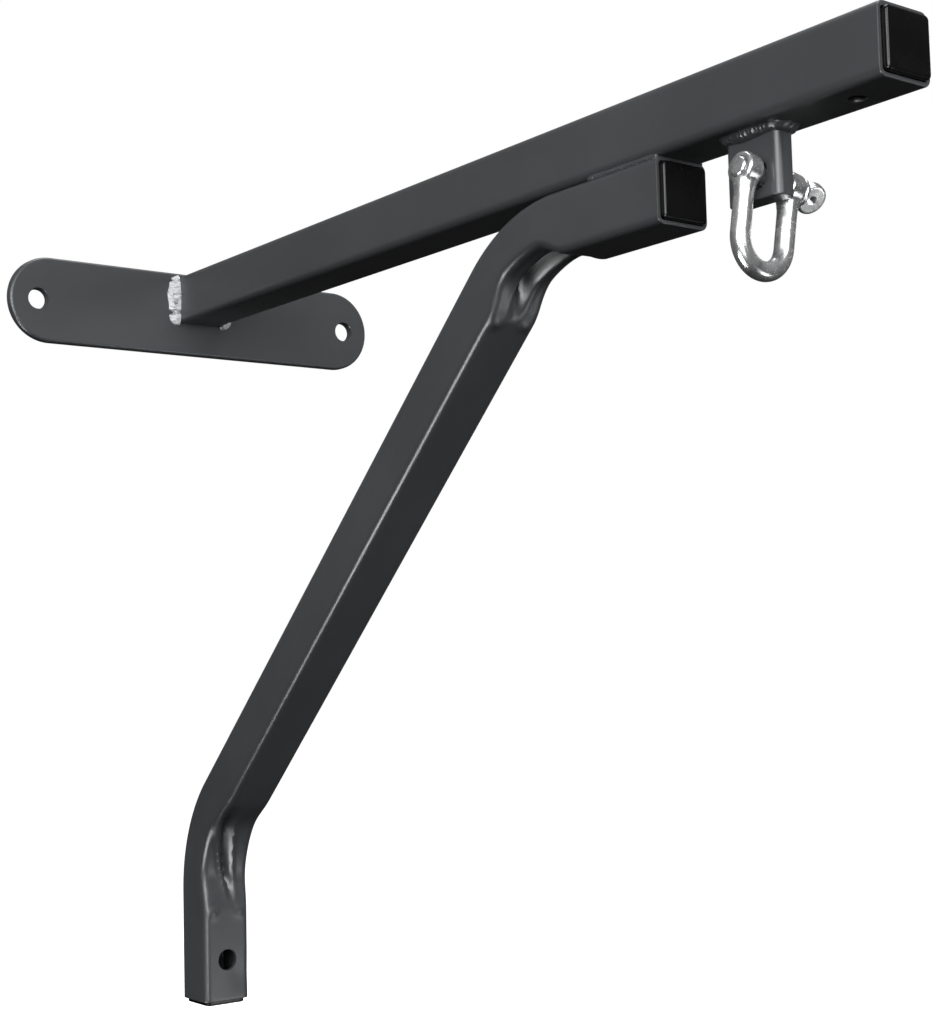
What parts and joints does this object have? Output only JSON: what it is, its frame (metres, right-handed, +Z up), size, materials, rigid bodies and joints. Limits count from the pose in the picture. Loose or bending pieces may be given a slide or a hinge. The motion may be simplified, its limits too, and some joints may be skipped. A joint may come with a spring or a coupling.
{
  "type": "punch bag wall bracket",
  "caption": "Wall bracket for a punch bag: flat wall plate, square arm, bent brace that bolts to the wall, and a swinging D-shackle in a lug under the arm.",
  "frame": {"origin": "centre of the wall plate's rear face, midway between its two bolt holes, on the wall plane", "axes": "+Z up, the arm stands out from the wall along -Y, +X to the right seen from the room"},
  "size_m": [0.294, 0.659, 0.524],
  "materials": {
    "powder_coat": "satin charcoal powder coat with fine orange peel",
    "weld_metal": "bright bare weld bead",
    "black_plastic": "moulded black, slight sheen",
    "zinc_plate": "bright zinc plate over a forged surface"
  },
  "bodies": {
    "bracket": {"wall_plate": "powder_coat", "arm_tube": "powder_coat", "arm_end_plug": "black_plastic", "brace_tube": "powder_coat", "brace_upper_plug": "black_plastic", "brace_foot_plug": "black_plastic", "hanger_lug": "powder_coat", "arm_weld_left": "weld_metal", "arm_weld_right": "weld_metal", "brace_weld_left": "powder_coat", "brace_weld_right": "powder_coat", "lug_weld": "powder_coat"},
    "bow": {"shackle_bow": "zinc_plate"},
    "pin": {"shackle_pin": "zinc_plate"}
  },
  "joints": [
    {"name": "bow_swing", "type": "hinge", "parent": "bracket", "child": "bow", "pos_m": [0.00173, -0.57, -0.03037], "axis": [0.9848, 0, -0.1736], "range_deg": [-111, 111]},
    {"name": "pin_slide", "type": "slide", "parent": "bow", "child": "pin", "axis": [0.9848, 0, -0.1736], "range_m": [0, 0.045]}
  ]
}
